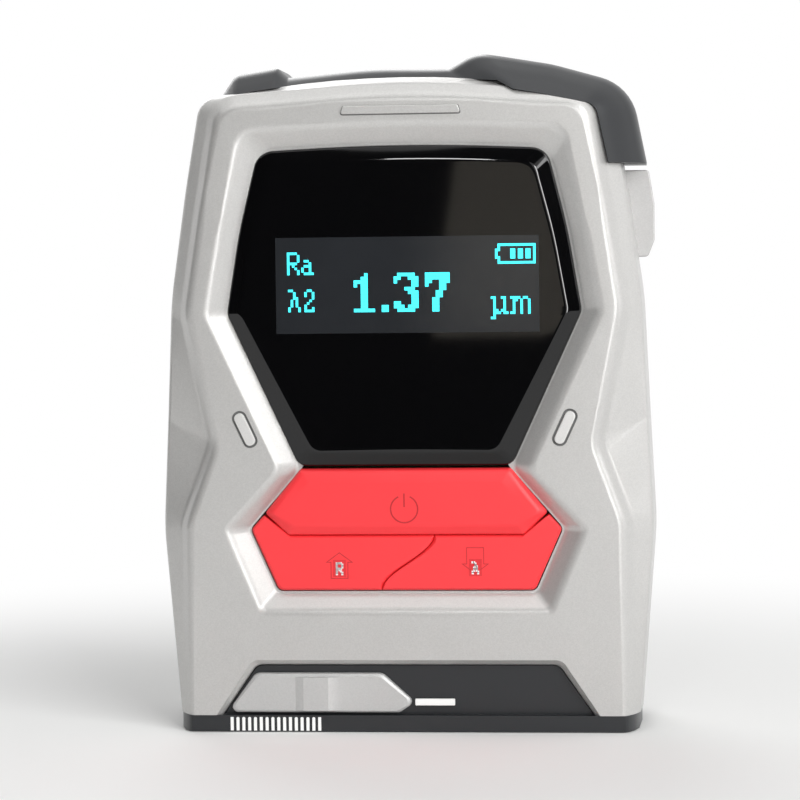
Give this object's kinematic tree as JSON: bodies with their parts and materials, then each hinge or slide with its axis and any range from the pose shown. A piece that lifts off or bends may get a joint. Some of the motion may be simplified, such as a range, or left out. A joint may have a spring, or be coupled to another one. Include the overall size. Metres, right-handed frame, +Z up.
{
  "type": "surface roughness tester",
  "caption": "Pocket surface roughness tester with a silver housing, black display window, red keys and a sliding probe door over its measuring foot.",
  "frame": {"origin": "middle of the foot's underside", "axes": "+Z up from the foot to the bumper, front with window and keys towards -Y, +X to its right"},
  "size_m": [0.0737, 0.0254, 0.1],
  "materials": {
    "silver_shell": "silver metallic paint on moulded ABS, fine satin",
    "black_trim": "dark grey moulded plastic, fine texture",
    "window": "polished black acrylic",
    "panel": "dark display glass",
    "inner_plastic": "plain moulded plastic",
    "board": "green solder resist",
    "battery": "shrink film",
    "steel": "plain ground steel",
    "red_key": "red silicone with a satin surface",
    "silver_slide": "silver paint on a moulded slide",
    "white_mark": "white plastic",
    "brass": "turned brass",
    "tip": "ground diamond tip"
  },
  "bodies": {
    "housing": {"front_shell": "silver_shell", "back_shell": "silver_shell", "top_bumper": "black_trim", "foot": "black_trim", "display_window": "window", "display_panel": "panel", "display_holder": "inner_plastic", "main_board": "board", "key_switches": "inner_plastic", "battery": "battery", "charge_socket": "steel", "case_screws": "steel", "board_screws": "steel", "foot_screws": "steel", "frame_screws": "steel", "drive_frame": "inner_plastic", "guide_rods": "steel", "drive_motor": "steel"},
    "power_button": {"power_key": "red_key"},
    "parameter_button": {"parameter_key": "red_key"},
    "cutoff_button": {"cutoff_key": "red_key"},
    "door": {"door_grip": "silver_slide", "door_plate": "steel", "door_index": "white_mark"},
    "slide_carriage": {"carriage": "inner_plastic", "lead_nut": "brass", "pickup_pin": "steel"},
    "pickup": {"pickup_body": "steel", "skid": "steel"},
    "stylus": {"stylus_arm": "steel", "stylus_tip": "tip"},
    "feed_screw": {"lead_screw": "steel", "screw_coupling": "brass"}
  },
  "joints": [
    {"name": "power_press", "type": "slide", "parent": "housing", "child": "power_button", "axis": [0, 1, 0], "range_m": [0, 0.0007], "stiffness_N_per_m": 1500},
    {"name": "parameter_press", "type": "slide", "parent": "housing", "child": "parameter_button", "axis": [0, 1, 0], "range_m": [0, 0.0007], "stiffness_N_per_m": 1500},
    {"name": "cutoff_press", "type": "slide", "parent": "housing", "child": "cutoff_button", "axis": [0, 1, 0], "range_m": [0, 0.0007], "stiffness_N_per_m": 1500},
    {"name": "door_slide", "type": "slide", "parent": "housing", "child": "door", "axis": [1, 0, 0], "range_m": [0, 0.016]},
    {"name": "screw_spin", "type": "hinge", "parent": "housing", "child": "feed_screw", "pos_m": [0, 0.0056, 0.0097], "axis": [1, 0, 0], "range_deg": [0, 2160]},
    {"name": "traverse", "type": "slide", "parent": "housing", "child": "slide_carriage", "axis": [1, 0, 0], "range_m": [0, 0.006]},
    {"name": "pickup_drop", "type": "hinge", "parent": "slide_carriage", "child": "pickup", "pos_m": [-0.004, 0, 0.007], "axis": [0, -1, 0], "range_deg": [0, 8.4]},
    {"name": "stylus_pivot", "type": "hinge", "parent": "pickup", "child": "stylus", "pos_m": [-0.021, 0, 0.007], "axis": [0, 1, 0], "range_deg": [0, 1.5], "stiffness_Nm_per_rad": 0.001}
  ],
  "couplings": [
    {"joint": "screw_spin", "follows": "traverse", "rad_per_m": 6283.2},
    {"joint": "pickup_drop", "follows": "door_slide", "rad_per_m": 9.1629}
  ]
}
